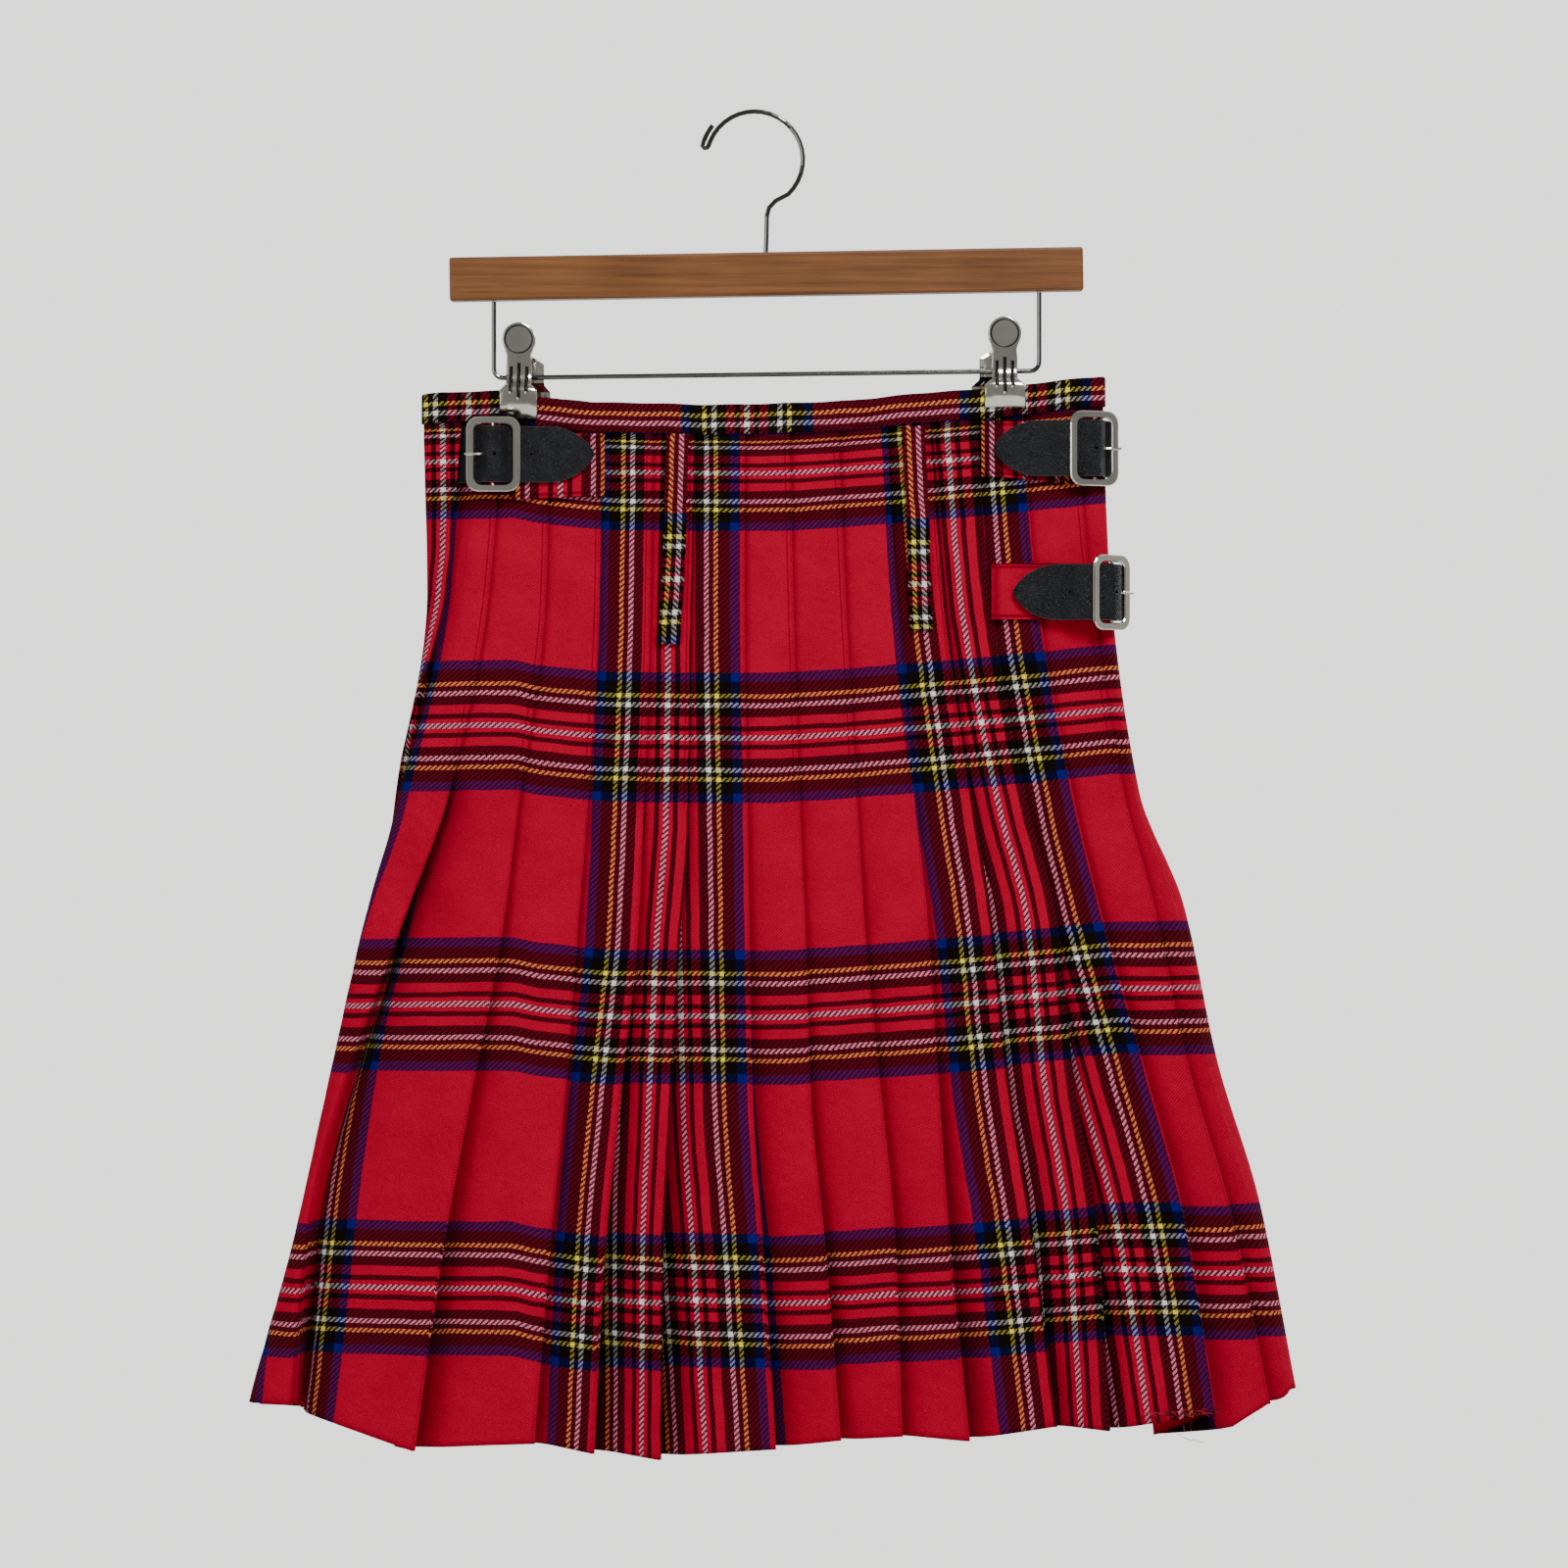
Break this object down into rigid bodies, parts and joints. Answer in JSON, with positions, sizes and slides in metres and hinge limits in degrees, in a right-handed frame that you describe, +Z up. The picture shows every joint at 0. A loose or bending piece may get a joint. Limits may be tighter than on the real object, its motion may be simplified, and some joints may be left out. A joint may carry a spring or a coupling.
{
  "type": "scottish kilt on a clip hanger with a wire hook",
  "caption": "Tartan wool kilt hung flat by its waistband from a wooden clip hanger, knife pleats to the front, three leather strap buckles fastened.",
  "frame": {"origin": "inside of the top of the hanger's hook, where the hook rests on a rail or nail", "axes": "+X to the right as the pleats are looked at, +Y away from the pleats to the wall behind, +Z up"},
  "size_m": [0.6013, 0.0752, 0.7708],
  "materials": {
    "tartan": "worsted wool twill, red tartan with black, navy, purple, yellow and white lines",
    "tartan_binding": "the same tartan cut along the darker lines",
    "black_leather": "grained, semi-gloss",
    "plated_steel": "bright plating",
    "bright_wire": "bright drawn wire",
    "honey_wood": "clear satin varnish"
  },
  "bodies": {
    "root": {"pleated_back": "tartan", "over_apron": "tartan", "under_apron": "tartan", "waistband": "tartan_binding", "belt_loop_left": "tartan_binding", "belt_loop_right": "tartan_binding", "tab_left": "tartan", "tab_right_upper": "tartan", "tab_right_lower": "tartan", "strap_left": "black_leather", "strap_right_upper": "black_leather", "strap_right_lower": "black_leather", "buckle_left": "plated_steel", "buckle_right_upper": "plated_steel", "buckle_right_lower": "plated_steel", "prong_left": "plated_steel", "prong_right_upper": "plated_steel", "prong_right_lower": "plated_steel", "hanger_bar": "honey_wood", "hook": "bright_wire", "clip_rail": "bright_wire", "clip_left_front": "plated_steel", "clip_left_back": "plated_steel", "clip_left_spring": "bright_wire", "clip_right_front": "plated_steel", "clip_right_back": "plated_steel", "clip_right_spring": "bright_wire"}
  },
  "joints": []
}
